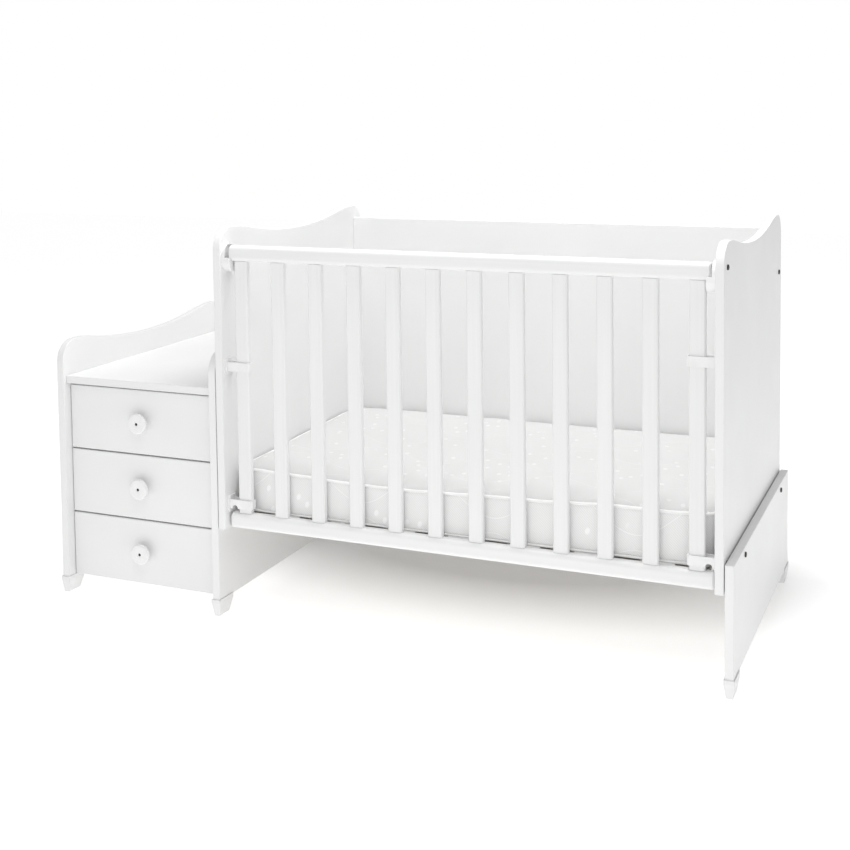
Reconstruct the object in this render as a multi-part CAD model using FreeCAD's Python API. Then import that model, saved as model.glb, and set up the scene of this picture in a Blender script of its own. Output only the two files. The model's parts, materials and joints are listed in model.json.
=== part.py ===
import FreeCAD, Part
import math
import os
from FreeCAD import Vector

# Convertible crib with a side dresser.  Millimetres, +Z up, +X along the bed towards its free end,
# +Y towards the back panel.  The origin is on the floor under the middle of the footprint.

# Boards
board = 18.0                # thickness of every lacquered board
board_ease = 1.2            # bevel along the boards' edges
depth = 740.0               # front edge to back edge of all upright panels

# Crested outline of the upright panels
crest_corner = 52.0         # rounding of the front and back corners
crest_run = 84.0            # length of the crest's fall before it turns into the dip
crest_dip = 29.0            # how far the middle lies below the crests

# Crib
crib_inside = 1110.0        # clear length between the two ends
crib_end_bottom = 206.5
crib_crest = 898.5
leg_overlap = 62.0          # leg board's top above the ends' lower edge
back_drop = 32.5            # back panel's top below the ends' crests
back_lift = 3.0             # back panel's lower edge above the ends' lower edge
back_inset = 28.0           # back panel's rear face to the ends' back edge

# Dresser
dresser_inside = 406.0      # clear width between the side panels
dresser_gallery = 85.2      # side panels' crests above the top board
dresser_top_recess = 12.0
dresser_back_board = 4.0
dresser_back_inset = 15.0
back_groove = 6.0           # depth of the groove that holds the thin back
stretcher_height = 70.0

# Drawers
drawer_count = 3
drawer_front_lift = 4.3     # lowest front above the panels' lower edge
drawer_front_height = 153.0
drawer_gap = 3.5            # between one front and the next
drawer_top_gap = 6.0        # between the highest front and the top board
drawer_side_gap = 1.3       # beside a front and beside a drawer's sides
drawer_recess = 26.0        # fronts behind the panels' front edges
drawer_back_room = 99.0     # behind a closed drawer, to the rear brace
drawer_side = 16.0
drawer_side_height = 112.0
drawer_side_lift = 14.0     # sides' lower edge above the front's lower edge
drawer_back_board = 12.0
drawer_back_drop = 12.0     # back board's top below the sides' top
drawer_bottom_board = 4.0
drawer_bottom_lift = 8.0    # bottom panel above the sides' lower edge
drawer_bottom_groove = 6.0
panel_slack = 0.2           # thin panels in their grooves, each side

# Drawer runners, strips that engage a groove in the drawer's side
runner_height = 17.0
runner_end = 29.6           # strip's rear end in front of the closed drawer's rear end
runner_grip = 8.0           # how far the strip reaches into the side
runner_lift = 60.0          # strip's middle above the side's lower edge
runner_setback = 30.0       # groove's blind end behind the drawer front
runner_slack = 0.4

# Drawer knobs
knob_radius = 24.0
knob_projection = 22.0
knob_thickness = 9.0
knob_rim = 1.0
knob_neck_radius = 9.0

# Feet, moulded caps under both ends of each standing board
foot_height = 35.5          # floor to the board's lower edge
foot_wall = 2.0
foot_pocket = 3.5           # rim that stands up round the board
foot_rim = 9.0              # straight band under the rim's top edge
foot_length = 58.0          # along the board, behind its front edge
foot_toe_width = 14.0
foot_toe_front = 3.0        # floor face behind the board's front edge
foot_toe_back = 45.0

# Sliding gate
gate_inset = 31.0           # gate's middle plane behind the ends' front edges
gate_lift = 0.5             # lower rail above the ends' lower edge
gate_drop = 40.0            # upper rail's top below the ends' crests
rail_height = 35.5
rail_depth = 30.0
rail_round = 10.0
rail_end_bevel = 3.0
top_rail_end_gap = 12.0     # leaves room for the catches
bottom_rail_end_gap = 4.5
slat_count = 12
slat_width = 32.5
slat_depth = 16.0
slat_bevel = 2.5
slat_margin = 23.0          # outer slat to the crib's end
tenon_length = 12.0         # tongue at each end of a slat
tenon_width = 22.0
tenon_depth = 9.0
tenon_slack = 0.1

# Gate guides: sleeves round the outer slats
guide_wall = 3.0
guide_slack = 0.5
guide_height = 21.0
guide_bevel = 4.0
flange_width = 34.0
flange_height = 37.0
flange_bevel = 5.0
mid_guide_left_drop = 278.0     # sleeve's middle below the gate's top
mid_guide_right_drop = 196.5
bottom_guide_lift = 20.0    # sleeve's middle above the lower rail
arch_width = 14.0
arch_height = 8.0
arch_from_end = 15.0

# Rail catches: cups that take the upper rail's ends
catch_width = 50.0
catch_above = 4.5           # flange above the rail's top
catch_below = 24.0          # flange below the rail's underside
catch_plate = 3.0
catch_ring = 7.5            # raised rim's reach from the crib's end
catch_wall = 3.0
catch_lip_low = 20.0        # lip's reach from the crib's end, at its foot
catch_lip_high = 18.5       # and at its upper edge
catch_lip_rise = 8.0        # lip's upper edge above the rail's underside
catch_slack = 0.3

# Base under the mattress
base_rail_height = 20.0
base_rail_slack = 0.3       # between a rail's end and its bracket
bracket_metal = 2.5
bracket_foot = 24.0         # length under the rail
base_rail_front = 50.0      # front rail's face behind the ends' front edges
base_lath = 9.0
base_lath_width = 70.0
base_lath_count = 8
base_lath_margin = 20.0
base_lift = 32.0            # laths' upper faces above the ends' lower edge

# Mattress
mattress_end_gap = 5.0      # to each end of the crib
mattress_front = 48.5       # behind the ends' front edges
mattress_back_gap = 12.0    # to the back panel
mattress_height = 93.0      # to the upper seam
mattress_crown = 14.0       # middle above the upper seam
mattress_border = 22.0      # flat border round the crown
mattress_corner = 36.0
mattress_draw = 5.0         # sides drawn in between the corners
mattress_seam = 8.0         # bevel from the side to the seams
mattress_lift = 0.3

# Connector bolts with flat heads that lie on the boards
bolt_radius = 3.0
bolt_head_radius = 5.0
bolt_head_height = 2.0      # also the gap that the heads keep between two boards
bolt_slack = 0.15
corner_bolt_bite = 40.0     # bolt's length in the back panel
corner_bolt_low = 27.0      # lower bolts above the back panel's lower edge
corner_bolt_high = 107.0    # upper bolts below its upper edge
link_bolt_bite = 13.0       # bolt's length in the board behind
link_bolt_inset = 125.0
link_bolt_drop = 16.0       # below the leg board's top
catch_bolt_drop = 9.0       # below the gate's top
fitting_bolt_bite = 2.6     # bolt's length in a gate fitting's flange

# Places worked out from the driving dimensions
front = -depth / 2
back = depth / 2
link_gap = bolt_head_height
overall = 5 * board + dresser_inside + crib_inside + 2 * link_gap
dresser_left_in = -overall / 2 + board
dresser_right_in = dresser_left_in + dresser_inside
dresser_right_out = dresser_right_in + board
left_end_out = dresser_right_out + link_gap
left_end_in = left_end_out + board
right_end_in = left_end_in + crib_inside
right_end_out = right_end_in + board
leg_in = right_end_out + link_gap
leg_out = leg_in + board

leg_top = crib_end_bottom + leg_overlap
link_bolt_z = leg_top - link_bolt_drop

gate_y = front + gate_inset
gate_bottom = crib_end_bottom + gate_lift
gate_top = crib_crest - gate_drop
catch_bolt_z = gate_top - catch_bolt_drop
top_rail_bottom = gate_top - rail_height
bottom_rail_top = gate_bottom + rail_height
bottom_guide_z = bottom_rail_top + bottom_guide_lift
slat_pitch = (crib_inside - 2 * slat_margin - slat_width) / (slat_count - 1)

back_bottom = crib_end_bottom + back_lift
back_top = crib_crest - back_drop
back_face = back - back_inset - board
back_middle = back_face + board / 2
base_top = crib_end_bottom + base_lift
base_rail_top = base_top - base_lath
base_rail_bottom = base_rail_top - base_rail_height

mattress_length = crib_inside - 2 * mattress_end_gap
mattress_width = back_face - mattress_back_gap - front - mattress_front

drawer_front_bottom = foot_height + drawer_front_lift
drawer_pitch = drawer_front_height + drawer_gap
dresser_top_under = drawer_front_bottom + drawer_count * drawer_pitch - drawer_gap + drawer_top_gap
dresser_top_over = dresser_top_under + board
dresser_crest = dresser_top_over + dresser_gallery
dresser_back_face = back - dresser_back_inset - dresser_back_board
drawer_front_face = front + drawer_recess
drawer_box_front = drawer_front_face + board
drawer_box_back = dresser_back_face - board - drawer_back_room
knob_x = (dresser_left_in + dresser_right_in) / 2

ALONG_X = Vector(1, 0, 0)
ALONG_Y = Vector(0, 1, 0)
UP = Vector(0, 0, 1)


def block(x0, x1, y0, y1, z0, z1):
    return Part.makeBox(x1 - x0, y1 - y0, z1 - z0, Vector(x0, y0, z0))


def straight_edges(shape, direction):
    found = []
    for edge in shape.Edges:
        if isinstance(edge.Curve, Part.Line):
            if edge.tangentAt(edge.FirstParameter).cross(direction).Length < 1e-6:
                found.append(edge)
    return found


def edges_at(shape, axis, place):
    # Edges that lie in the plane where the coordinate named by axis has the value place.
    found = []
    for edge in shape.Edges:
        low = getattr(edge.BoundBox, axis + "Min")
        high = getattr(edge.BoundBox, axis + "Max")
        if abs(low - place) < 1e-4 and abs(high - place) < 1e-4:
            found.append(edge)
    return found


def eased_board(x0, x1, y0, y1, z0, z1):
    shape = block(x0, x1, y0, y1, z0, z1)
    return shape.makeChamfer(board_ease, shape.Edges)


def rod(radius, start, direction, length):
    return Part.makeCylinder(radius, length, start, direction)


# Upright panels

def crested_panel(x0, bottom, crest):
    # A board in the YZ plane whose top rises to a crest near each edge and dips in the middle.
    # The crest arc and the dip arc meet at one slope, turned by angle from the horizontal.
    span = depth / 2 - crest_corner
    angle = 2 * math.atan2(crest_dip, span)
    crest_r = crest_run / math.sin(angle)

    def at(y, z):
        return Vector(x0, y, z)

    def on_crest(side, turn):
        reach = depth / 2 - crest_corner - crest_r * math.sin(turn)
        return at(side * reach, crest - crest_r * (1 - math.cos(turn)))

    def on_corner(side, turn):
        reach = depth / 2 - crest_corner * (1 - math.cos(turn))
        return at(side * reach, crest - crest_corner * (1 - math.sin(turn)))

    edges = [Part.LineSegment(at(front, bottom), at(back, bottom)),
             Part.LineSegment(at(back, bottom), on_corner(1, 0)),
             Part.Arc(on_corner(1, 0), on_corner(1, math.pi / 4), on_corner(1, math.pi / 2)),
             Part.Arc(on_crest(1, 0), on_crest(1, angle / 2), on_crest(1, angle)),
             Part.Arc(on_crest(1, angle), at(0, crest - crest_dip), on_crest(-1, angle)),
             Part.Arc(on_crest(-1, angle), on_crest(-1, angle / 2), on_crest(-1, 0)),
             Part.Arc(on_corner(-1, math.pi / 2), on_corner(-1, math.pi / 4), on_corner(-1, 0)),
             Part.LineSegment(on_corner(-1, 0), at(front, bottom))]
    outline = Part.Wire([edge.toShape() for edge in edges])
    panel = Part.Face(outline).extrude(ALONG_X * board)
    rims = edges_at(panel, "X", x0) + edges_at(panel, "X", x0 + board)
    return panel.makeChamfer(board_ease, rims)


def bolt(face, way, y, z, bite):
    # A bolt along X with its head on the face; way (+1 or -1) is the direction of its shank.
    seat = Vector(face, y, z)
    head = rod(bolt_head_radius, seat, ALONG_X * -way, bolt_head_height)
    return head.fuse(rod(bolt_radius, seat, ALONG_X * way, bite)).removeSplitter()


def bolt_hole(face, way, y, z, bite):
    return rod(bolt_radius + bolt_slack, Vector(face, y, z), ALONG_X * way, bite + bolt_slack)


def ends_of_crib():
    # Outer face, inner face and inward direction of the left and the right crib end.
    return [(left_end_out, left_end_in, 1), (right_end_out, right_end_in, -1)]


def corner_bolt_places():
    return [(back_middle, back_bottom + corner_bolt_low), (back_middle, back_top - corner_bolt_high)]


def fitting_bolt_places():
    return [(gate_y, catch_bolt_z), (gate_y, bottom_guide_z)]


def link_bolt_places():
    return [(front + link_bolt_inset, link_bolt_z), (back - link_bolt_inset, link_bolt_z)]


def link_faces():
    # Faces under the link bolts' heads: inside the crib's left end and outside the leg board.
    return [left_end_in, leg_out]


def bolts_through_ends(places, bite):
    bolts = []
    for outer, inner, way in ends_of_crib():
        bolts += [bolt(outer, way, y, z, board + bite) for y, z in places]
    return bolts


def build_link_bolts():
    bite = board + link_gap + link_bolt_bite
    return [bolt(face, -1, y, z, bite) for face in link_faces() for y, z in link_bolt_places()]


def drilled_for_links(panel):
    for face in link_faces():
        for y, z in link_bolt_places():
            panel = panel.cut(bolt_hole(face, -1, y, z, board + link_gap + link_bolt_bite))
    return panel


def build_crib_end(outer, inner, way):
    panel = crested_panel(min(outer, inner), crib_end_bottom, crib_crest)
    for y, z in corner_bolt_places() + fitting_bolt_places():
        panel = panel.cut(bolt_hole(outer, way, y, z, board))
    return drilled_for_links(panel)


def build_dresser_panel(inner, way):
    # way points from the panel's inner face into the dresser.
    panel = crested_panel(min(inner, inner - way * board), foot_height, dresser_crest)
    groove = block(inner - back_groove, inner + back_groove,
                   dresser_back_face - panel_slack, dresser_back_face + dresser_back_board + panel_slack,
                   drawer_front_bottom - panel_slack, dresser_top_over + panel_slack)
    return drilled_for_links(panel.cut(groove))


def build_leg_board():
    return drilled_for_links(eased_board(leg_in, leg_out, front, back, foot_height, leg_top))


def build_crib_back():
    panel = eased_board(left_end_in, right_end_in, back_face, back_face + board, back_bottom, back_top)
    for outer, inner, way in ends_of_crib():
        for y, z in corner_bolt_places():
            panel = panel.cut(bolt_hole(inner, way, y, z, corner_bolt_bite))
    return panel


# Feet

def build_foot(x_middle, edge, way):
    # A tapered cap at one end of a board; way points from the board's edge along the board.
    half = board / 2 + panel_slack + foot_wall
    overhang = panel_slack + foot_wall
    top = foot_height + foot_pocket
    band = top - foot_rim
    side = [(foot_toe_front, 0), (foot_toe_back, 0), (foot_length, band), (foot_length, top),
            (-overhang, top), (-overhang, band)]
    side = [Vector(x_middle - half, edge + way * y, z) for y, z in side]
    toe = foot_toe_width / 2
    face = [(-toe, 0), (toe, 0), (half, band), (half, top), (-half, top), (-half, band)]
    face = [Vector(x_middle + x, edge - way * overhang, z) for x, z in face]
    cap = Part.Face(Part.makePolygon(side + side[:1])).extrude(ALONG_X * 2 * half)
    taper = Part.Face(Part.makePolygon(face + face[:1])).extrude(ALONG_Y * way * (overhang + foot_length))
    slot = board / 2 + panel_slack
    y0, y1 = sorted((edge - way * panel_slack, edge + way * (foot_length + foot_wall)))
    pocket = block(x_middle - slot, x_middle + slot, y0, y1, foot_height, top + foot_pocket)
    return cap.common(taper).cut(pocket)


# Dresser

def build_dresser_top():
    return eased_board(dresser_left_in, dresser_right_in, front + dresser_top_recess, dresser_back_face,
                       dresser_top_under, dresser_top_over)


def build_dresser_stretcher():
    return eased_board(dresser_left_in, dresser_right_in, dresser_back_face - board, dresser_back_face,
                       drawer_front_bottom, drawer_front_bottom + stretcher_height)


def build_dresser_back():
    reach = back_groove - panel_slack
    return block(dresser_left_in - reach, dresser_right_in + reach,
                 dresser_back_face, dresser_back_face + dresser_back_board,
                 drawer_front_bottom, dresser_top_over)


# Drawers, counted from the bottom

def drawer_z(level):
    return drawer_front_bottom + level * drawer_pitch


def side_bottom(level):
    return drawer_z(level) + drawer_side_lift


def runner_z(level):
    return side_bottom(level) + runner_lift


def build_runners():
    strips = []
    y0 = drawer_box_front + runner_setback + runner_slack
    for level in range(drawer_count):
        z0 = runner_z(level) - runner_height / 2
        for face, way in ((dresser_left_in, 1), (dresser_right_in, -1)):
            x0, x1 = sorted((face, face + way * (drawer_side_gap + runner_grip)))
            strip = block(x0, x1, y0, drawer_box_back - runner_end, z0, z0 + runner_height)
            strips.append(strip.makeChamfer(board_ease, straight_edges(strip, UP)))
    return strips


def bottom_panel_z(level):
    return side_bottom(level) + drawer_bottom_lift


def inside_of_sides():
    inset = drawer_side_gap + drawer_side
    return dresser_left_in + inset, dresser_right_in - inset


def bottom_panel_groove(level):
    left, right = inside_of_sides()
    z0 = bottom_panel_z(level)
    return block(left - drawer_bottom_groove, right + drawer_bottom_groove,
                 drawer_box_front - drawer_bottom_groove, drawer_box_back,
                 z0 - panel_slack, z0 + drawer_bottom_board + panel_slack)


def knob_z(level):
    return drawer_z(level) + drawer_front_height / 2


def build_drawer_front(level):
    z0 = drawer_z(level)
    shape = eased_board(dresser_left_in + drawer_side_gap, dresser_right_in - drawer_side_gap,
                        drawer_front_face, drawer_box_front, z0, z0 + drawer_front_height)
    return shape.cut(bottom_panel_groove(level))


def build_drawer_side(level, face, way):
    # face is the dresser panel's inner face, and way points from it into the drawer.
    x0, x1 = sorted((face + way * drawer_side_gap, face + way * (drawer_side_gap + drawer_side)))
    z0 = side_bottom(level)
    side = block(x0, x1, drawer_box_front, drawer_box_back, z0, z0 + drawer_side_height)
    side = side.makeChamfer(board_ease, edges_at(side, "Z", z0 + drawer_side_height))
    side = side.cut(bottom_panel_groove(level))
    reach = drawer_side_gap + runner_grip + runner_slack
    g0, g1 = sorted((face, face + way * reach))
    half = runner_height / 2 + runner_slack
    return side.cut(block(g0, g1, drawer_box_front + runner_setback, drawer_box_back,
                          runner_z(level) - half, runner_z(level) + half))


def build_drawer_back(level):
    left, right = inside_of_sides()
    z0 = bottom_panel_z(level) + drawer_bottom_board + panel_slack
    z1 = side_bottom(level) + drawer_side_height - drawer_back_drop
    return block(left, right, drawer_box_back - drawer_back_board, drawer_box_back, z0, z1)


def build_drawer_bottom(level):
    left, right = inside_of_sides()
    reach = drawer_bottom_groove - panel_slack
    z0 = bottom_panel_z(level)
    return block(left - reach, right + reach, drawer_box_front - reach, drawer_box_back,
                 z0, z0 + drawer_bottom_board)


def build_knob(level):
    # A turned disc on a short neck; out is measured from the drawer front.
    def at(r, out):
        return Vector(knob_x + r, drawer_front_face - out, knob_z(level))

    disc_back = knob_projection - knob_thickness
    outline = [at(0, 0), at(knob_neck_radius, 0), at(knob_neck_radius, disc_back),
               at(knob_radius, disc_back), at(knob_radius, knob_projection - knob_rim),
               at(knob_radius - knob_rim, knob_projection), at(0, knob_projection)]
    return Part.Face(Part.makePolygon(outline + outline[:1])).revolve(at(0, 0), ALONG_Y, 360)


# Gate

def slat_x(index):
    return left_end_in + slat_margin + index * slat_pitch


def build_slat(index):
    # A slat with bevelled long edges and a tongue at each end.
    x0 = slat_x(index)
    slat = block(x0, x0 + slat_width, gate_y - slat_depth / 2, gate_y + slat_depth / 2,
                 bottom_rail_top, top_rail_bottom)
    slat = slat.makeChamfer(slat_bevel, straight_edges(slat, UP))
    return slat.fuse(tongue(index, 0.0, bottom_rail_top - tenon_length, top_rail_bottom + tenon_length))


def tongue(index, slack, z0, z1):
    middle = slat_x(index) + slat_width / 2
    half_width = tenon_width / 2 + slack
    half_depth = tenon_depth / 2 + slack
    return block(middle - half_width, middle + half_width, gate_y - half_depth, gate_y + half_depth, z0, z1)


def rail_bar(x0, x1, z0, slack):
    bar = block(x0, x1, gate_y - rail_depth / 2 - slack, gate_y + rail_depth / 2 + slack,
                z0 - slack, z0 + rail_height + slack)
    return bar.makeFillet(rail_round, straight_edges(bar, ALONG_X))


def build_rail(z0, end_gap, mortise_low, mortise_high):
    # A rounded rail with a mortise for every slat.
    x0 = left_end_in + end_gap
    x1 = right_end_in - end_gap
    rail = rail_bar(x0, x1, z0, 0.0)
    rail = rail.makeChamfer(rail_end_bevel, edges_at(rail, "X", x0) + edges_at(rail, "X", x1))
    mortises = [tongue(index, tenon_slack, mortise_low, mortise_high) for index in range(slat_count)]
    return rail.cut(mortises)


def build_top_rail():
    return build_rail(top_rail_bottom, top_rail_end_gap,
                      top_rail_bottom, top_rail_bottom + tenon_length + tenon_slack)


def build_bottom_rail():
    return build_rail(gate_bottom, bottom_rail_end_gap,
                      bottom_rail_top - tenon_length - tenon_slack, bottom_rail_top)


# Gate fittings on the crib's ends.  way points from the end's inner face into the crib.

def build_guide(inner, way, z):
    # A flange on the crib's end with a sleeve that the outer slat slides through.
    def span(a, b):
        return sorted((inner + way * a, inner + way * b))

    x0, x1 = span(0, guide_wall)
    flange = block(x0, x1, gate_y - flange_width / 2, gate_y + flange_width / 2,
                   z - flange_height / 2, z + flange_height / 2)
    flange = flange.makeChamfer(flange_bevel, straight_edges(flange, ALONG_X))
    reach = slat_margin + slat_width + guide_slack
    half = slat_depth / 2 + guide_slack
    x0, x1 = span(0, reach + guide_wall)
    sleeve = block(x0, x1, gate_y - half - guide_wall, gate_y + half + guide_wall,
                   z - guide_height / 2, z + guide_height / 2)
    nose = [edge for edge in straight_edges(sleeve, UP)
            if abs(edge.CenterOfMass.x - (inner + way * (reach + guide_wall))) < 1e-4]
    sleeve = sleeve.makeChamfer(guide_bevel, nose)
    guide = flange.fuse(sleeve).removeSplitter()
    x0, x1 = span(guide_wall, reach)
    return guide.cut(block(x0, x1, gate_y - half, gate_y + half, z - guide_height, z + guide_height))


def build_bottom_guide(inner, way):
    # As the middle guide, with an arched notch in the lower edge of its front wall.
    guide = build_guide(inner, way, bottom_guide_z)
    low = bottom_guide_z - guide_height / 2
    x = inner + way * arch_from_end
    radius = arch_width / 2
    y0 = gate_y - slat_depth / 2 - guide_slack - guide_wall
    arch = block(x - radius, x + radius, y0, y0 + guide_wall, low, low + arch_height - radius)
    arch = arch.fuse(rod(radius, Vector(x, y0, low + arch_height - radius), ALONG_Y, guide_wall))
    return guide.cut(arch).cut(bolt_hole(inner, way, gate_y, bottom_guide_z, fitting_bolt_bite))


def build_catch(inner, way):
    # An oval flange with a raised rim and a cup-shaped lip that cradles the rail's end.
    low = top_rail_bottom - catch_below
    high = gate_top + catch_above
    radius = catch_width / 2

    def oval(reach, wide):
        middle = block(min(inner, inner + way * reach), max(inner, inner + way * reach),
                       gate_y - wide, gate_y + wide, low + radius, high - radius)
        for z in (low + radius, high - radius):
            middle = middle.fuse(rod(wide, Vector(inner, gate_y, z), ALONG_X * way, reach))
        return middle.removeSplitter()

    lip_top = top_rail_bottom + catch_lip_rise
    slant = [Vector(inner, gate_y - radius, low), Vector(inner + way * catch_lip_low, gate_y - radius, low),
             Vector(inner + way * catch_lip_high, gate_y - radius, lip_top),
             Vector(inner, gate_y - radius, lip_top)]
    wedge = Part.Face(Part.makePolygon(slant + slant[:1])).extrude(ALONG_Y * catch_width)
    lip = oval(catch_lip_low, radius).common(wedge)
    x0, x1 = sorted((inner + way * catch_plate, inner + way * (catch_lip_low + catch_plate)))
    lip = lip.cut(rail_bar(x0, x1, top_rail_bottom, catch_slack))
    rim = oval(catch_ring, radius).cut(oval(catch_ring, radius - catch_wall))
    catch = oval(catch_plate, radius).fuse([rim, lip]).removeSplitter()
    return catch.cut(bolt_hole(inner, way, gate_y, catch_bolt_z, fitting_bolt_bite))


# Base and mattress

def base_rail_places():
    return [front + base_rail_front, back_face - board]


def build_base_rail(y0):
    shorter = bracket_metal + base_rail_slack
    return block(left_end_in + shorter, right_end_in - shorter, y0, y0 + board,
                 base_rail_bottom, base_rail_top)


def build_base_brackets():
    # Steel angles on the crib's ends; their feet carry the rails' ends.
    angles = []
    for outer, inner, way in ends_of_crib():
        for y0 in base_rail_places():
            under = base_rail_bottom - bracket_metal
            outline = [(0, under), (bracket_foot, under), (bracket_foot, base_rail_bottom),
                       (bracket_metal, base_rail_bottom), (bracket_metal, base_rail_top),
                       (0, base_rail_top)]
            points = [Vector(inner + way * x, y0, z) for x, z in outline]
            angles.append(Part.Face(Part.makePolygon(points + points[:1])).extrude(ALONG_Y * board))
    return angles


def build_base_laths():
    free = crib_inside - 2 * base_lath_margin - base_lath_width
    laths = []
    for index in range(base_lath_count):
        x0 = left_end_in + base_lath_margin + index * free / (base_lath_count - 1)
        lath = block(x0, x0 + base_lath_width, front + base_rail_front, back_face, base_rail_top, base_top)
        laths.append(lath.makeChamfer(board_ease, straight_edges(lath, ALONG_Y)))
    return laths


def build_mattress():
    # A band with drawn-in sides, bevelled towards both seams, and a crown on its upper face.
    x_middle = (left_end_in + right_end_in) / 2
    y_middle = front + mattress_front + mattress_width / 2
    foot = base_top + mattress_lift
    seam = foot + mattress_height
    half_x = mattress_length / 2
    half_y = mattress_width / 2
    bend = mattress_corner * (1 - math.sqrt(0.5))

    def at(x, y):
        return Vector(x_middle + x, y_middle + y, foot)

    edges = []
    for sx, sy in ((1, -1), (1, 1), (-1, 1), (-1, -1)):
        on_x = at(sx * (half_x - mattress_corner), sy * half_y)
        on_y = at(sx * half_x, sy * (half_y - mattress_corner))
        edges.append(Part.Arc(on_x, at(sx * (half_x - bend), sy * (half_y - bend)), on_y).toShape())
        if sx == sy:
            far = at(-sx * (half_x - mattress_corner), sy * half_y)
            edges.append(Part.Arc(on_x, at(0, sy * (half_y - mattress_draw)), far).toShape())
        else:
            far = at(sx * half_x, -sy * (half_y - mattress_corner))
            edges.append(Part.Arc(on_y, at(sx * (half_x - mattress_draw), 0), far).toShape())
    band = Part.Face(Part.Wire(Part.__sortEdges__(edges))).extrude(UP * mattress_height)
    band = band.makeChamfer(mattress_seam, edges_at(band, "Z", foot) + edges_at(band, "Z", seam))

    def vault(start, middle, end, direction):
        lines = [Part.Arc(start, middle, end).toShape(), Part.LineSegment(end, start).toShape()]
        return Part.Face(Part.Wire(lines)).extrude(direction)

    reach_x = half_x - mattress_border
    reach_y = half_y - mattress_border
    top = seam + mattress_crown
    corner = Vector(x_middle - reach_x, y_middle - reach_y, seam)
    along = vault(corner, Vector(x_middle, y_middle - reach_y, top),
                  Vector(x_middle + reach_x, y_middle - reach_y, seam), ALONG_Y * 2 * reach_y)
    across = vault(corner, Vector(x_middle - reach_x, y_middle, top),
                   Vector(x_middle - reach_x, y_middle + reach_y, seam), ALONG_X * 2 * reach_x)
    return band.fuse(along.common(across))


parts = {
    "dresser_left_panel": build_dresser_panel(dresser_left_in, 1),
    "dresser_right_panel": build_dresser_panel(dresser_right_in, -1),
    "dresser_top": build_dresser_top(),
    "dresser_stretcher": build_dresser_stretcher(),
    "dresser_back": build_dresser_back(),
    "drawer_runners": build_runners(),
    "crib_left_end": build_crib_end(left_end_out, left_end_in, 1),
    "crib_right_end": build_crib_end(right_end_out, right_end_in, -1),
    "crib_back_panel": build_crib_back(),
    "leg_board": build_leg_board(),
    "base_front_rail": build_base_rail(base_rail_places()[0]),
    "base_back_rail": build_base_rail(base_rail_places()[1]),
    "base_brackets": build_base_brackets(),
    "base_laths": build_base_laths(),
    "mattress": build_mattress(),
    "corner_bolts": bolts_through_ends(corner_bolt_places(), corner_bolt_bite),
    "fitting_bolts": bolts_through_ends(fitting_bolt_places(), fitting_bolt_bite),
    "link_bolts": build_link_bolts(),
    "gate_top_rail": build_top_rail(),
    "gate_bottom_rail": build_bottom_rail(),
    "gate_left_end_slat": build_slat(0),
    "gate_right_end_slat": build_slat(slat_count - 1),
    "gate_inner_slats": [build_slat(index) for index in range(1, slat_count - 1)],
}

for side, inner, way, middle_z in (("left", left_end_in, 1, gate_top - mid_guide_left_drop),
                                   ("right", right_end_in, -1, gate_top - mid_guide_right_drop)):
    parts["rail_catch_" + side] = build_catch(inner, way)
    parts["mid_guide_" + side] = build_guide(inner, way, middle_z)
    parts["bottom_guide_" + side] = build_bottom_guide(inner, way)

standing_boards = {
    "dresser_left": dresser_left_in - board / 2,
    "dresser_right": dresser_right_in + board / 2,
    "leg_board": leg_in + board / 2,
}
for name, x_middle in standing_boards.items():
    parts[name + "_front_foot"] = build_foot(x_middle, front, 1)
    parts[name + "_back_foot"] = build_foot(x_middle, back, -1)

for level, name in enumerate(("bottom", "middle", "top")):
    drawer = name + "_drawer_"
    parts[drawer + "front"] = build_drawer_front(level)
    parts[drawer + "left_side"] = build_drawer_side(level, dresser_left_in, 1)
    parts[drawer + "right_side"] = build_drawer_side(level, dresser_right_in, -1)
    parts[drawer + "back"] = build_drawer_back(level)
    parts[drawer + "bottom"] = build_drawer_bottom(level)
    parts[drawer + "knob"] = build_knob(level)

os.makedirs("parts", exist_ok=True)
for node, shape in parts.items():
    if isinstance(shape, list):
        shape = Part.makeCompound(shape)
    shape.exportStep("parts/" + node + ".step")
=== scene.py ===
import json
import math

import bmesh
import bpy
from mathutils import Matrix, Vector, noise


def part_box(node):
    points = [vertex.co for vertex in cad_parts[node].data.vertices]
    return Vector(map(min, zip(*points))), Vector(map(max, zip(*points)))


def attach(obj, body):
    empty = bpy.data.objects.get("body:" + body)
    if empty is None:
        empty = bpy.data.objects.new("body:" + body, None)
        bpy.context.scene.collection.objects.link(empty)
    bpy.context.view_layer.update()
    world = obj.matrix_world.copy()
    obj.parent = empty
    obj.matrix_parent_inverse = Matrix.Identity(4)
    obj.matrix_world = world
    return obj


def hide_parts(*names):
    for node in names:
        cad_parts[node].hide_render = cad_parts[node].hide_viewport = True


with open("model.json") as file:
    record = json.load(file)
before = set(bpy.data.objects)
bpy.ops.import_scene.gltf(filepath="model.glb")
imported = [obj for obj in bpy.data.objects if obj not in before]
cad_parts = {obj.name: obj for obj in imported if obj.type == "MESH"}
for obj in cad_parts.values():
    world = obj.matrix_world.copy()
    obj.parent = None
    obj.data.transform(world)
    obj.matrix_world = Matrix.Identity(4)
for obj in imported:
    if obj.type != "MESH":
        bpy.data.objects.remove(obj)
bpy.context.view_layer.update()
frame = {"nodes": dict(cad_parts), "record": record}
cad_nodes = frame["nodes"]

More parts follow.
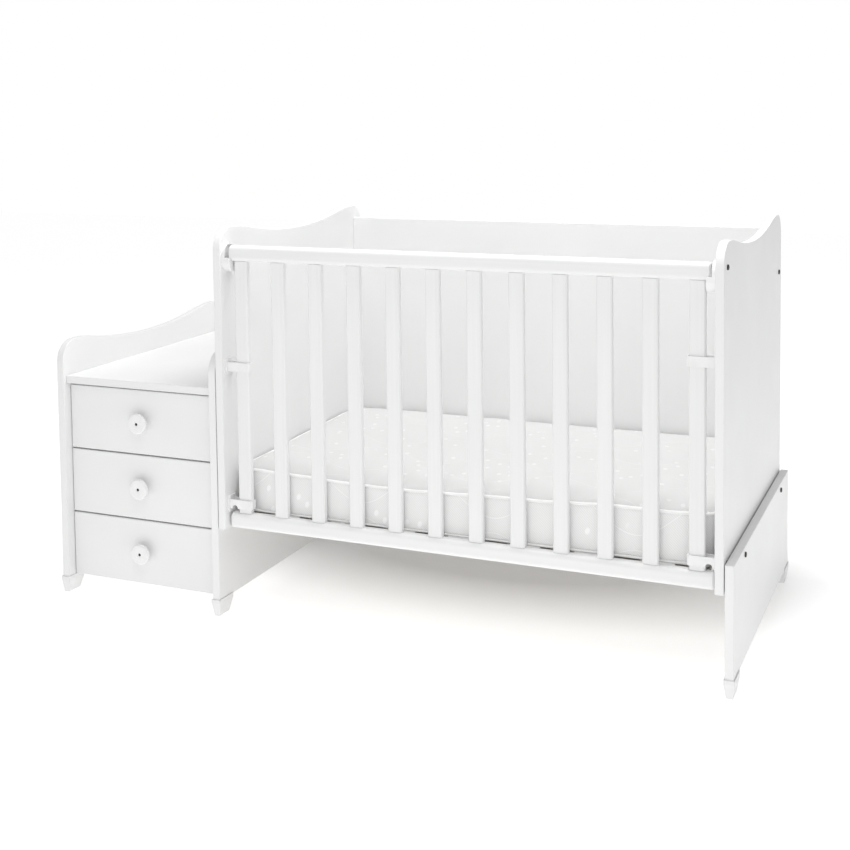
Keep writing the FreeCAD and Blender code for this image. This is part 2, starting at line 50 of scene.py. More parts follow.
# Knobs and their screws, metres
KNOB_RADIUS = 0.024
KNOB_THICKNESS = 0.009
KNOB_NECK_RADIUS = 0.009
KNOB_RIM = 0.0030
KNOB_BACK_ROUND = 0.0018
KNOB_NECK_ROUND = 0.0016
KNOB_FACETS = 72
SCREW_WELL_RADIUS = 0.0036
SCREW_WELL_DEPTH = 0.003
SCREW_WELL_ROUND = 0.0006
SCREW_RADIUS = 0.0033
SCREW_HEIGHT = 0.0014
SCREW_FACETS = 20
SCREW_SLOT_DEPTH = 0.0009
SCREW_FIELD = SCREW_RADIUS * 0.62   # half the width of the square that the cross slot lies in
SCREW_CELLS = 5                     # the square's cells along a side, of which the slot takes the middle one
SCREW_TURNS = {"bottom_drawer": 17, "middle_drawer": 48, "top_drawer": 79}   # degrees

# Bolts and their caps
BOLT_HEAD_RADIUS = 0.005
CAP_RADIUS = 0.0056
CAP_HEIGHT = 0.0031
CAP_FACETS = 24
CAP_SOCKET_RADIUS = 0.0029
CAP_SOCKET_DEPTH = 0.0009
CAP_ROUND = 0.0011

# Mattress
MATTRESS_LOW, MATTRESS_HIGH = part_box("mattress")
MATTRESS_MIDDLE = (MATTRESS_LOW + MATTRESS_HIGH) / 2
MATTRESS_HALF = (MATTRESS_HIGH - MATTRESS_LOW) / 2
CORNER_ROUND = 0.036
CROWN = 0.010               # the filled top's middle above its seam
SOLID_CROWN = 0.014         # the same on the plain solid
START_SLACK = 0.0035        # the cover starts this much inside its full size
START_TOP = 0.004           # and this much above its top seam
START_ROUND = 0.006
VOXEL = 0.006
PUFF_LIMIT = 0.0050         # farthest that the pressed cover may swell
PRESSURE = 4.0
STEPS = 20
TOP_SEAM = MATTRESS_HIGH.z - SOLID_CROWN
LOW_SEAM = MATTRESS_LOW.z + 0.0058
SEAM_HALF_WIDTH = 0.004
RESTING = 0.002             # the cover lies on the base up to this height
FACES_UP = 0.7              # a normal's upward part, past which the cover counts as top
ROLL = 0.085                # width of the rolled border round the top
PUCKER = 0.0020             # depth of the pleats along the top seam
PUCKER_RATE = 24.0          # pleats along a metre of seam
PUCKER_FADE = 0.028         # how soon the pleats fade inwards
SLOW_UNEVEN, QUICK_UNEVEN = 0.0022, 0.0009
SLOW_RATE, QUICK_RATE = 5.0, 13.0
SETTLE_SEED = 58            # the cover's unevenness is the same in every run

# The filling presses the front border towards the slats
FRONT_FULL = 0.005
FRONT_FROM, FRONT_TO = 0.035, 0.005     # distance behind the front face
ENDS_FROM, ENDS_TO = 0.045, 0.095       # distance from the nearer end
BASE_FROM, BASE_TO = 0.0015, 0.0075     # height above the base

# The top seam's rise over its lowest stretch, which is left of the middle at the front
RIGHT_RISE, RIGHT_FROM, RIGHT_TO = 0.0165, 0.10, 0.65
LEFT_RISE, LEFT_FROM, LEFT_TO = 0.006, -0.05, -0.30
BACK_RISE = 0.012

# Quilting, weave and piping
QUILT_PITCH = 0.112         # from one stitched wave to the next
QUILT_SWAY = 0.040          # height of a wave
QUILT_LENGTH = 0.31         # length of a wave
QUILT_HALF_WIDTH = 0.0042
STITCH_LENGTH = 0.0042
RIB_WIDTH = 0.0056
THREAD_WIDTH = 0.0009
FLECK_LEAN = math.radians(-20)
FLECKS_PER_METRE = (38.0, 25.0, 1.0)
PIPING_RADIUS = 0.0032
PIPING_STEP = 0.012
TOP_PIPING_PROUD = 0.0006
LOW_PIPING_PROUD = 0.0030

# Tones
WHITE = (0.86, 0.86, 0.86)
BRIGHT_WHITE = (0.87, 0.87, 0.87)
# The top's cloth is the border's cloth made darker: a painted shade for the stronger light that falls on the
# top.
COVER_TOP_PAINTED_SHADE = (0.65, 0.65, 0.646)
COVER_BORDER = (0.89, 0.89, 0.885)
# The satin flecks' and stitches' tone, lighter than the cloth: a real woven pattern with a painted sheen.
BORDER_SATIN_SHEEN = (0.96, 0.96, 0.96)
TAPE_PALE, TAPE_DIM = (0.92, 0.92, 0.915), (0.88, 0.88, 0.875)
WOOD_PALE, WOOD_WARM, WOOD_PORE = (0.75, 0.71, 0.65), (0.67, 0.62, 0.55), (0.47, 0.42, 0.36)
STEEL_BLACK, STEEL_RUBBED = (0.045, 0.043, 0.040), (0.12, 0.115, 0.11)
FLOOR_DIM, FLOOR_PALE = (0.90, 0.90, 0.90), (0.92, 0.92, 0.92)
PURE_WHITE = (1.0, 1.0, 1.0, 1.0)

# Studio
SURROUND_LIGHT = 0.54
FLOOR_REACH = 9.0
FLOOR_GLOW = 0.50           # the sweep's own light, in the open
FLOOR_GLOW_IN_PAINTED_SHADOW = 0.14     # its share under the crib, where the dimmed glow is a painted shadow
# Footprint of the painted shadow under the crib, where the floor's glow dims
SHADE_OFFSET = (-0.10, -0.62, 0.0)
SHADE_STRETCH = (1.0, 2.1, 1.0)
SHADE_CORE, SHADE_EDGE = 0.42, 1.0


# Node helpers

def feed(tree, socket, value):
    """Links a socket to another one, or sets it to a plain value."""
    if isinstance(value, bpy.types.NodeSocket):
        tree.links.new(value, socket)
    else:
        socket.default_value = value


def put(tree, kind, settings=None, **sockets):
    """A node with its settings, and its sockets set or linked by name."""
    made = tree.nodes.new(kind)
    for name, value in (settings or {}).items():
        setattr(made, name, value)
    for name, value in sockets.items():
        feed(tree, made.inputs[name.replace("_", " ")], value)
    return made


def sum_up(tree, operation, *values):
    """A Math node over sockets or numbers, as its output socket."""
    made = tree.nodes.new("ShaderNodeMath")
    made.operation = operation
    for place, value in enumerate(values):
        feed(tree, made.inputs[place], value)
    return made.outputs[0]


def spread(tree, value, low, high, to_low, to_high):
    """A value spread from one range to another, as its output socket."""
    made = put(tree, "ShaderNodeMapRange", {"clamp": True}, Value=value, From_Min=low, From_Max=high,
               To_Min=to_low, To_Max=to_high)
    return made.outputs[0]


def cloud(tree, vector, scale, detail, distortion=0.0):
    """Noise over a vector, as its output socket."""
    made = put(tree, "ShaderNodeTexNoise", Vector=vector, Scale=scale, Detail=detail, Distortion=distortion)
    return made.outputs[0]


def ripple(tree, value, length):
    """Waves of one length over a value, as their output socket."""
    return sum_up(tree, "SINE", sum_up(tree, "MULTIPLY", value, 2 * math.pi / length))


def stretch(tree, vector, shares):
    """A vector multiplied part by part, as its output socket."""
    made = put(tree, "ShaderNodeVectorMath", {"operation": "MULTIPLY"})
    feed(tree, made.inputs[0], vector)
    feed(tree, made.inputs[1], shares)
    return made.outputs[0]


def blend_tones(tree, mask, first, second):
    """The first tone where the mask is 0 and the second where it is 1."""
    made = tree.nodes.new("ShaderNodeMix")
    made.data_type = "RGBA"
    feed(tree, made.inputs["Factor"], mask)
    for socket, tone in ((made.inputs[6], first), (made.inputs[7], second)):
        feed(tree, socket, tone if isinstance(tone, bpy.types.NodeSocket) else (*tone, 1.0))
    return made.outputs[2]


def shade(tone, share):
    return tuple(share * part for part in tone)


def effect(name, inputs, outputs):
    """An empty shader node group with named sockets: its tree, input sockets and output sockets."""
    tree = bpy.data.node_groups.new(name, "ShaderNodeTree")
    for label, kind, value in inputs:
        socket = tree.interface.new_socket(label, in_out="INPUT", socket_type=kind)
        if value is not None:
            socket.default_value = value
    for label, kind in outputs:
        tree.interface.new_socket(label, in_out="OUTPUT", socket_type=kind)
    entry = tree.nodes.new("NodeGroupInput")
    leave = tree.nodes.new("NodeGroupOutput")
    return tree, entry.outputs, leave.inputs


def place_effect(tree, group, **sockets):
    """A shader node group placed in a material, as its output sockets."""
    made = tree.nodes.new("ShaderNodeGroup")
    made.node_tree = group
    for name, value in sockets.items():
        feed(tree, made.inputs[name.replace("_", " ")], value)
    return made.outputs


FLOAT, VECTOR = "NodeSocketFloat", "NodeSocketVector"


def make_lacquer_skin():
    """Sprayed lacquer: fine peel, soft mottling and faint handling smears."""
    tree, given, result = effect("lacquer_skin", [("Vector", VECTOR, None), ("Peel Scale", FLOAT, 320.0)],
                                 [("Mottle", FLOAT), ("Smear", FLOAT), ("Height", FLOAT)])
    peel = cloud(tree, given["Vector"], given["Peel Scale"], 2.0)
    mottle = cloud(tree, given["Vector"], 3.2, 3.0)
    smear = cloud(tree, given["Vector"], 17.0, 4.0)
    tree.links.new(spread(tree, mottle, 0.3, 0.7, 0.0, 1.0), result["Mottle"])
    tree.links.new(spread(tree, smear, 0.35, 0.7, 0.0, 1.0), result["Smear"])
    tree.links.new(peel, result["Height"])
    return tree


def make_grain_streaks():
    """Wood grain: long streaks along the Vector's X, with fine pores."""
    tree, given, result = effect("grain_streaks", [("Vector", VECTOR, None), ("Run", FLOAT, 2.5)],
                                 [("Bands", FLOAT), ("Pores", FLOAT)])
    bands = cloud(tree, stretch(tree, given["Vector"], (1.0, 46.0, 46.0)), given["Run"], 4.0, 0.6)
    pores = cloud(tree, stretch(tree, given["Vector"], (18.0, 620.0, 620.0)), 1.0, 2.0)
    tree.links.new(spread(tree, bands, 0.3, 0.7, 0.0, 1.0), result["Bands"])
    tree.links.new(spread(tree, pores, 0.35, 0.7, 0.0, 1.0), result["Pores"])
    return tree


def make_moulded_grain():
    """Spark-eroded grain of moulded plastic, with slow flow marks."""
    tree, given, result = effect("moulded_grain", [("Vector", VECTOR, None), ("Scale", FLOAT, 900.0)],
                                 [("Grain", FLOAT), ("Flow", FLOAT)])
    grain = put(tree, "ShaderNodeTexVoronoi", {"feature": "SMOOTH_F1"},
                Vector=given["Vector"], Scale=given["Scale"])
    flow = cloud(tree, given["Vector"], 26.0, 2.0)
    tree.links.new(grain.outputs["Distance"], result["Grain"])
    tree.links.new(spread(tree, flow, 0.35, 0.65, 0.0, 1.0), result["Flow"])
    return tree


def make_cover_weave():
    """Twill ribs on a slant, crossed by single threads, with oval satin flecks in loose clusters."""
    tree, given, result = effect("cover_weave", [("Vector", VECTOR, None)],
                                 [("Ribs", FLOAT), ("Threads", FLOAT), ("Flecks", FLOAT)])
    part = put(tree, "ShaderNodeSeparateXYZ", Vector=given["Vector"])
    slip = cloud(tree, given["Vector"], 60.0, 2.0)
    along = sum_up(tree, "ADD", part.outputs[0], sum_up(tree, "MULTIPLY", slip, THREAD_WIDTH))
    ribs = ripple(tree, sum_up(tree, "SUBTRACT", along, part.outputs[1]), RIB_WIDTH)
    warp = ripple(tree, along, THREAD_WIDTH)
    weft = ripple(tree, part.outputs[1], THREAD_WIDTH)
    threads = sum_up(tree, "MULTIPLY", warp, weft)
    lean = put(tree, "ShaderNodeMapping", Vector=given["Vector"], Rotation=(0.0, 0.0, FLECK_LEAN))
    ovals = put(tree, "ShaderNodeMapping", Vector=lean.outputs[0], Scale=FLECKS_PER_METRE)
    cells = put(tree, "ShaderNodeTexVoronoi", {"voronoi_dimensions": "2D"},
                Vector=ovals.outputs[0], Scale=1.0, Randomness=0.85)
    chosen = put(tree, "ShaderNodeSeparateColor", Color=cells.outputs["Color"])
    clusters = spread(tree, cloud(tree, given["Vector"], 5.0, 1.0), 0.35, 0.65, -0.25, 0.25)
    share = sum_up(tree, "ADD", chosen.outputs[0], clusters)
    flecks = sum_up(tree, "MULTIPLY", spread(tree, cells.outputs["Distance"], 0.15, 0.22, 1.0, 0.0),
                    spread(tree, share, 0.74, 0.80, 0.0, 1.0))
    tree.links.new(spread(tree, ribs, -1.0, 1.0, 0.0, 1.0), result["Ribs"])
    tree.links.new(spread(tree, threads, -1.0, 1.0, 0.0, 1.0), result["Threads"])
    tree.links.new(flecks, result["Flecks"])
    return tree


def make_quilt_stitch():
    """Stitched waves: a mask beside the seam for painted crease shade, and the single stitches on it."""
    tree, given, result = effect("quilt_stitch", [("Vector", VECTOR, None)],
                                 [("Painted Crease Shade", FLOAT), ("Stitches", FLOAT)])
    part = put(tree, "ShaderNodeSeparateXYZ", Vector=given["Vector"])
    wave = ripple(tree, part.outputs[0], QUILT_LENGTH)
    row = sum_up(tree, "ROUND", sum_up(tree, "DIVIDE", part.outputs[1], QUILT_PITCH))
    side = sum_up(tree, "COSINE", sum_up(tree, "MULTIPLY", row, math.pi))
    nearest = None
    for step in (-1.0, 0.0, 1.0):
        middle = sum_up(tree, "MULTIPLY", sum_up(tree, "ADD", row, step), QUILT_PITCH)
        turn = side if step == 0.0 else sum_up(tree, "MULTIPLY", side, -1.0)
        sway = sum_up(tree, "MULTIPLY", sum_up(tree, "MULTIPLY", wave, turn), QUILT_SWAY)
        seam = sum_up(tree, "ADD", middle, sway)
        away = sum_up(tree, "ABSOLUTE", sum_up(tree, "SUBTRACT", part.outputs[1], seam))
        nearest = away if nearest is None else sum_up(tree, "MINIMUM", nearest, away)
    beat = spread(tree, ripple(tree, part.outputs[0], STITCH_LENGTH), -1.0, 0.2, 0.4, 1.0)
    thread = spread(tree, nearest, 0.0007, 0.0015, 1.0, 0.0)
    tree.links.new(spread(tree, nearest, 0.0006, 0.0050, 1.0, 0.0), result["Painted Crease Shade"])
    tree.links.new(sum_up(tree, "MULTIPLY", thread, beat), result["Stitches"])
    return tree


lacquer_skin = make_lacquer_skin()
grain_streaks = make_grain_streaks()
moulded_grain = make_moulded_grain()
cover_weave = make_cover_weave()
quilt_stitch = make_quilt_stitch()


# Finishes

def new_finish(name):
    """An empty material with a Principled shader and texture coordinates."""
    material = bpy.data.materials.new(name)
    material.use_nodes = True
    tree = material.node_tree
    tree.nodes.clear()
    shader = tree.nodes.new("ShaderNodeBsdfPrincipled")
    output = tree.nodes.new("ShaderNodeOutputMaterial")
    tree.links.new(shader.outputs[0], output.inputs["Surface"])
    coords = tree.nodes.new("ShaderNodeTexCoord")
    return material, tree, shader, coords


def raise_surface(tree, shader, height, distance, strength, edge=0.0):
    """Bump from a height, on normals that are eased round the edges where edge gives a radius."""
    bump = put(tree, "ShaderNodeBump", Height=height, Distance=distance, Strength=strength)
    if edge:
        softened = put(tree, "ShaderNodeBevel", {"samples": 4}, Radius=edge)
        tree.links.new(softened.outputs[0], bump.inputs["Normal"])
    tree.links.new(bump.outputs[0], shader.inputs["Normal"])


def lacquer_finish(name, tone, roughness, grain=None, edge=0.0012):
    """White satin lacquer. grain turns its faint streaks along the piece."""
    material, tree, shader, coords = new_finish(name)
    skin = place_effect(tree, lacquer_skin, Vector=coords.outputs["Object"])
    colour = blend_tones(tree, skin["Mottle"], shade(tone, 0.965), tone)
    height = sum_up(tree, "MULTIPLY", skin["Height"], 0.35)
    if grain is not None:
        turned = put(tree, "ShaderNodeMapping", Vector=coords.outputs["Object"], Rotation=grain)
        streaks = place_effect(tree, grain_streaks, Vector=turned.outputs[0], Run=3.0)
        faint = sum_up(tree, "MULTIPLY", streaks["Bands"], 0.45)
        colour = blend_tones(tree, faint, colour, shade(tone, 0.93))
        height = sum_up(tree, "ADD", height, sum_up(tree, "MULTIPLY", streaks["Bands"], 0.65))
    tree.links.new(colour, shader.inputs["Base Color"])
    tree.links.new(spread(tree, skin["Smear"], 0.0, 1.0, roughness - 0.03, roughness + 0.06),
                   shader.inputs["Roughness"])
    shader.inputs["Specular IOR Level"].default_value = 0.42
    raise_surface(tree, shader, height, 0.00025, 0.25, edge)
    return material


def foil_finish(name, tone, roughness):
    """Matt printed foil on board: fine linen emboss under a faint mottling."""
    material, tree, shader, coords = new_finish(name)
    skin = place_effect(tree, lacquer_skin, Vector=coords.outputs["Object"], Peel_Scale=780.0)
    tree.links.new(blend_tones(tree, skin["Smear"], tone, shade(tone, 0.94)), shader.inputs["Base Color"])
    tree.links.new(spread(tree, skin["Mottle"], 0.0, 1.0, roughness - 0.05, roughness + 0.05),
                   shader.inputs["Roughness"])
    raise_surface(tree, shader, skin["Height"], 0.0002, 0.35)
    return material


def wood_finish(name, turn):
    """Planed softwood, with growth bands and pores along the piece."""
    material, tree, shader, coords = new_finish(name)
    turned = put(tree, "ShaderNodeMapping", Vector=coords.outputs["Object"], Rotation=turn)
    grain = place_effect(tree, grain_streaks, Vector=turned.outputs[0], Run=1.6)
    bands = blend_tones(tree, grain["Bands"], WOOD_PALE, WOOD_WARM)
    pores = sum_up(tree, "MULTIPLY", grain["Pores"], 0.35)
    tree.links.new(blend_tones(tree, pores, bands, WOOD_PORE), shader.inputs["Base Color"])
    tree.links.new(spread(tree, grain["Bands"], 0.0, 1.0, 0.55, 0.70), shader.inputs["Roughness"])
    raise_surface(tree, shader, grain["Pores"], 0.0003, 0.4)
    return material


def plastic_finish(name, tone, roughness, scale):
    """Moulded plastic with a fine grain."""
    material, tree, shader, coords = new_finish(name)
    grain = place_effect(tree, moulded_grain, Vector=coords.outputs["Object"], Scale=scale)
    tree.links.new(blend_tones(tree, grain["Flow"], tone, shade(tone, 0.95)), shader.inputs["Base Color"])
    tree.links.new(spread(tree, grain["Grain"], 0.0, 0.8, roughness - 0.06, roughness + 0.08),
                   shader.inputs["Roughness"])
    shader.inputs["Specular IOR Level"].default_value = 0.45
    raise_surface(tree, shader, grain["Grain"], 0.00018, 0.3, 0.0008)
    return material


def dark_steel_finish():
    """Blackened steel, with brighter rubbed places."""
    material, tree, shader, coords = new_finish("blackened_steel")
    skin = place_effect(tree, lacquer_skin, Vector=coords.outputs["Object"], Peel_Scale=1400.0)
    tree.links.new(blend_tones(tree, skin["Smear"], STEEL_BLACK, STEEL_RUBBED), shader.inputs["Base Color"])
    tree.links.new(spread(tree, skin["Smear"], 0.0, 1.0, 0.34, 0.50), shader.inputs["Roughness"])
    shader.inputs["Metallic"].default_value = 0.85
    raise_surface(tree, shader, skin["Height"], 0.0001, 0.4)
    return material


def mattress_cover_finish():
    """Woven cover: twill ribs, satin flecks and quilted seams, on the cover's own UV map, with painted shade
    on the top, the rib hollows and the seam creases, and a painted sheen on the flecks and stitches.
    """
    material, tree, shader, coords = new_finish("woven_mattress_cover")
    weave = place_effect(tree, cover_weave, Vector=coords.outputs["UV"])
    quilt = place_effect(tree, quilt_stitch, Vector=coords.outputs["UV"])
    border = put(tree, "ShaderNodeAttribute", {"attribute_name": "border"}).outputs["Fac"]
    # The top takes the darker tone, a painted shade, and the border the plain cloth tone.
    ground = blend_tones(tree, border, COVER_TOP_PAINTED_SHADE, COVER_BORDER)
    # A darker copy of the cloth: painted shade for the weave's hollows and the seam creases.
    painted_hollow_shade = blend_tones(tree, border, shade(COVER_TOP_PAINTED_SHADE, 0.92), shade(COVER_BORDER, 0.92))
    satin = blend_tones(tree, border, shade(COVER_TOP_PAINTED_SHADE, 1.07), BORDER_SATIN_SHEEN)
    # The rib hollows take the darker tone: painted shade in the weave's recesses.
    cloth = blend_tones(tree, weave["Ribs"], painted_hollow_shade, ground)
    # The flecks take the lighter tone: the fleck pattern is real, its lightness is a painted sheen.
    flecked = blend_tones(tree, sum_up(tree, "MULTIPLY", weave["Flecks"], 0.85), cloth, satin)
    # Darker beside the quilted seams: painted crease shade.
    creased = blend_tones(tree, sum_up(tree, "MULTIPLY", quilt["Painted Crease Shade"], 0.30), flecked, painted_hollow_shade)
    # The stitches take the same lighter tone, a painted sheen on the thread.
    tree.links.new(blend_tones(tree, quilt["Stitches"], creased, satin), shader.inputs["Base Color"])
    tree.links.new(spread(tree, weave["Flecks"], 0.0, 1.0, 0.82, 0.42), shader.inputs["Roughness"])
    shader.inputs["Sheen Weight"].default_value = 0.10
    shader.inputs["Sheen Roughness"].default_value = 0.5
    plain = sum_up(tree, "SUBTRACT", 1.0, weave["Flecks"])
    twill = sum_up(tree, "ADD", sum_up(tree, "MULTIPLY", weave["Ribs"], 0.7),
                   sum_up(tree, "MULTIPLY", weave["Threads"], 0.3))
    relief = sum_up(tree, "MULTIPLY", sum_up(tree, "MULTIPLY", twill, plain), 0.55)
    height = sum_up(tree, "ADD", relief, sum_up(tree, "MULTIPLY", quilt["Stitches"], 0.6))
    raise_surface(tree, shader, height, 0.0006, 0.4)
    return material


def piping_finish():
    """Bound cotton tape over a cord."""
    material, tree, shader, coords = new_finish("piping_tape")
    grain = place_effect(tree, moulded_grain, Vector=coords.outputs["Object"], Scale=1100.0)
    tree.links.new(blend_tones(tree, grain["Flow"], TAPE_PALE, TAPE_DIM), shader.inputs["Base Color"])
    tree.links.new(spread(tree, grain["Grain"], 0.0, 0.8, 0.66, 0.82), shader.inputs["Roughness"])
    shader.inputs["Sheen Weight"].default_value = 0.1
    raise_surface(tree, shader, grain["Grain"], 0.0004, 0.5)
    return material


UPRIGHT = (0.0, math.radians(90), 0.0)
LENGTHWISE = (0.0, 0.0, 0.0)
CROSSWISE = (0.0, 0.0, math.radians(90))

board_lacquer = lacquer_finish("satin_lacquer_on_board", WHITE, 0.40)
slat_lacquer = lacquer_finish("satin_lacquer_on_slats", WHITE, 0.38, grain=UPRIGHT)
rail_lacquer = lacquer_finish("satin_lacquer_on_rails", WHITE, 0.38, grain=LENGTHWISE)
knob_lacquer = lacquer_finish("gloss_lacquer_on_knobs", BRIGHT_WHITE, 0.26, edge=0.0)
drawer_lining = foil_finish("drawer_lining_foil", (0.76, 0.76, 0.75), 0.55)
thin_panel = foil_finish("thin_panel_foil", (0.74, 0.73, 0.71), 0.6)
lath_wood = wood_finish("planed_laths", CROSSWISE)
rail_wood = wood_finish("planed_base_rails", LENGTHWISE)
foot_plastic = plastic_finish("foot_cap_plastic", WHITE, 0.42, 900.0)
fitting_plastic = plastic_finish("gate_fitting_plastic", BRIGHT_WHITE, 0.34, 1100.0)
runner_plastic = plastic_finish("runner_strip_plastic", (0.72, 0.72, 0.71), 0.4, 800.0)
blackened_steel = dark_steel_finish()
mattress_cover = mattress_cover_finish()
piping_tape = piping_finish()

SLOT_FINISH = {
    "lacquered_board": board_lacquer, "gate_lacquer": slat_lacquer, "knob_lacquer": knob_lacquer,
    "drawer_lining": drawer_lining, "thin_panel": thin_panel, "bare_wood": lath_wood,
    "foot_plastic": foot_plastic, "fitting_plastic": fitting_plastic, "runner_plastic": runner_plastic,
    "dark_steel": blackened_steel, "mattress_cover": mattress_cover,
}
NODE_FINISH = {
    "gate_top_rail": rail_lacquer, "gate_bottom_rail": rail_lacquer,
    "base_front_rail": rail_wood, "base_back_rail": rail_wood,
}


def dress_cad_nodes():
    """A finish on every CAD node, by its material slot or its own name."""
    for row in frame["record"]["subparts"]:
        finish = NODE_FINISH.get(row["node"], SLOT_FINISH[row["material_slot"]])
        mesh = cad_nodes[row["node"]].data
        mesh.materials.clear()
        mesh.materials.append(finish)


# Pieces

def set_in_scene(name, data):
    """A new object in the scene, at the origin."""
    made = bpy.data.objects.new(name, data)
    bpy.context.scene.collection.objects.link(made)
    return made


def make_piece(name, bm, finish, body, smooth=True):
    """A finished object at the origin from a bmesh, riding on a body."""
    bmesh.ops.remove_doubles(bm, verts=bm.verts, dist=1e-6)
    bmesh.ops.recalc_face_normals(bm, faces=bm.faces)
    for face in bm.faces:
        face.smooth = smooth
    mesh = bpy.data.meshes.new(name)
    bm.to_mesh(mesh)
    bm.free()
    piece = set_in_scene(name, mesh)
    mesh.materials.append(finish)
    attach(piece, body)
    return piece


def verts_in(geom):
    return [item for item in geom if isinstance(item, bmesh.types.BMVert)]


def edges_in(geom):
    return [item for item in geom if isinstance(item, bmesh.types.BMEdge)]


def edges_on(verts):
    return list({edge for vert in verts for edge in vert.link_edges})


def edges_at(bm, wanted):
    return [edge for edge in bm.edges if wanted(edge.verts[0].co) and wanted(edge.verts[1].co)]


def open_edges(bm):
    return [edge for edge in bm.edges if edge.is_boundary]


def round_edges(bm, edges, offset, segments):
    bmesh.ops.bevel(bm, geom=edges, offset=offset, segments=segments, profile=0.5, affect="EDGES",
                    material=-1, clamp_overlap=True)


def turn_knob(drawer):
    """A turned knob: neck, disc with a rounded rim and a screw well, along -Y from the drawer front."""
    low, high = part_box(drawer + "_knob")
    centre = (low + high) / 2
    back, face = high.y, low.y
    disc_back = face + KNOB_THICKNESS
    well_floor = face + SCREW_WELL_DEPTH
    profile = [(0.0, back), (KNOB_NECK_RADIUS, back), (KNOB_NECK_RADIUS, disc_back),
               (KNOB_RADIUS, disc_back), (KNOB_RADIUS, face), (SCREW_WELL_RADIUS, face),
               (SCREW_WELL_RADIUS, well_floor), (0.0, well_floor)]
    bm = bmesh.new()
    points = [bm.verts.new((centre.x + reach, out, centre.z)) for reach, out in profile]
    line = [bm.edges.new(pair) for pair in zip(points, points[1:])]
    bmesh.ops.spin(bm, geom=points + line, cent=centre, axis=(0, 1, 0), angle=2 * math.pi,
                   steps=KNOB_FACETS, use_merge=True)
    bmesh.ops.remove_doubles(bm, verts=bm.verts, dist=1e-6)

    def ring(reach, out):
        def on_ring(place):
            away = math.hypot(place.x - centre.x, place.z - centre.z)
            return abs(away - reach) < 1e-5 and abs(place.y - out) < 1e-5
        return on_ring

    round_edges(bm, edges_at(bm, ring(KNOB_RADIUS, face)), KNOB_RIM, 6)
    round_edges(bm, edges_at(bm, ring(KNOB_RADIUS, disc_back)), KNOB_BACK_ROUND, 3)
    round_edges(bm, edges_at(bm, ring(SCREW_WELL_RADIUS, face)), SCREW_WELL_ROUND, 3)
    round_edges(bm, edges_at(bm, ring(KNOB_NECK_RADIUS, disc_back)), KNOB_NECK_ROUND, 3)
    knob = make_piece(drawer + "_turned_knob", bm, knob_lacquer, drawer)
    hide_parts(drawer + "_knob")
    return centre, well_floor


def cross_head(bm, turn):
    """A round screw head with a cross slot, its seat at z 0 and its face towards +z, turned on the spot."""
    bmesh.ops.create_grid(bm, x_segments=SCREW_CELLS, y_segments=SCREW_CELLS, size=SCREW_FIELD)
    half_cell = SCREW_FIELD / SCREW_CELLS * 1.01
    slot = []
    for cell in bm.faces:
        middle = cell.calc_center_median()
        if min(abs(middle.x), abs(middle.y)) < half_cell:
            slot.append(cell)
    border = open_edges(bm)
    rim = bmesh.ops.create_circle(bm, segments=SCREW_FACETS, radius=SCREW_RADIUS,
                                  matrix=Matrix.Rotation(math.radians(45), 4, "Z"))
    bmesh.ops.bridge_loops(bm, edges=border + edges_on(rim["verts"]))
    pushed = bmesh.ops.extrude_face_region(bm, geom=slot)
    bmesh.ops.translate(bm, verts=verts_in(pushed["geom"]), vec=(0, 0, -SCREW_SLOT_DEPTH))
    bmesh.ops.delete(bm, geom=slot, context="FACES")
    skirt = bmesh.ops.extrude_edge_only(bm, edges=open_edges(bm))
    bmesh.ops.translate(bm, verts=verts_in(skirt["geom"]), vec=(0, 0, -SCREW_HEIGHT))
    bmesh.ops.translate(bm, verts=bm.verts, vec=(0, 0, SCREW_HEIGHT))
    bmesh.ops.rotate(bm, verts=bm.verts, cent=(0, 0, 0), matrix=Matrix.Rotation(turn, 3, "Z"))


def drive_screw(drawer, centre, seat, turn):
    """The screw in a knob's well, its face towards -Y."""
    bm = bmesh.new()
    cross_head(bm, turn)
    bmesh.ops.rotate(bm, verts=bm.verts, cent=(0, 0, 0), matrix=Matrix.Rotation(math.radians(90), 3, "X"))
    bmesh.ops.translate(bm, verts=bm.verts, vec=(centre.x, seat, centre.z))
    make_piece(drawer + "_knob_screw", bm, blackened_steel, drawer, smooth=False)


def cap_bolt(place, outward):
    """A domed cap with a six-sided socket, over a bolt's flat head. outward is 1 along +X, -1 along -X."""
    bm = bmesh.new()
    socket = bmesh.ops.create_circle(bm, segments=6, radius=CAP_SOCKET_RADIUS, cap_ends=False)
    floor = bmesh.ops.contextual_create(bm, geom=edges_on(socket["verts"]))["faces"]
    pushed = bmesh.ops.extrude_face_region(bm, geom=floor)
    bmesh.ops.translate(bm, verts=verts_in(pushed["geom"]), vec=(0, 0, -CAP_SOCKET_DEPTH))
    bmesh.ops.delete(bm, geom=floor, context="FACES_ONLY")
    bmesh.ops.subdivide_edges(bm, edges=open_edges(bm), cuts=3)
    mouth = open_edges(bm)
    flat_radius = CAP_RADIUS - CAP_ROUND
    rim = bmesh.ops.create_circle(bm, segments=CAP_FACETS, radius=flat_radius)
    edges = edges_on(rim["verts"])
    bmesh.ops.bridge_loops(bm, edges=mouth + edges)
    for turn in (30, 60, 90):
        angle = math.radians(turn)
        ring = bmesh.ops.extrude_edge_only(bm, edges=edges)["geom"]
        for vert in verts_in(ring):
            vert.co.xy = vert.co.xy.normalized() * (flat_radius + CAP_ROUND * math.sin(angle))
            vert.co.z = -CAP_ROUND * (1 - math.cos(angle))
        edges = [edge for edge in edges_in(ring) if edge.is_boundary]
    skirt = bmesh.ops.extrude_edge_only(bm, edges=edges)
    for vert in verts_in(skirt["geom"]):
        vert.co.z = -CAP_HEIGHT
    bmesh.ops.translate(bm, verts=bm.verts, vec=(0, 0, CAP_HEIGHT))
    bmesh.ops.rotate(bm, verts=bm.verts, cent=(0, 0, 0),
                     matrix=Matrix.Rotation(outward * math.radians(90), 3, "Y"))
    bmesh.ops.translate(bm, verts=bm.verts, vec=place)
    return bm


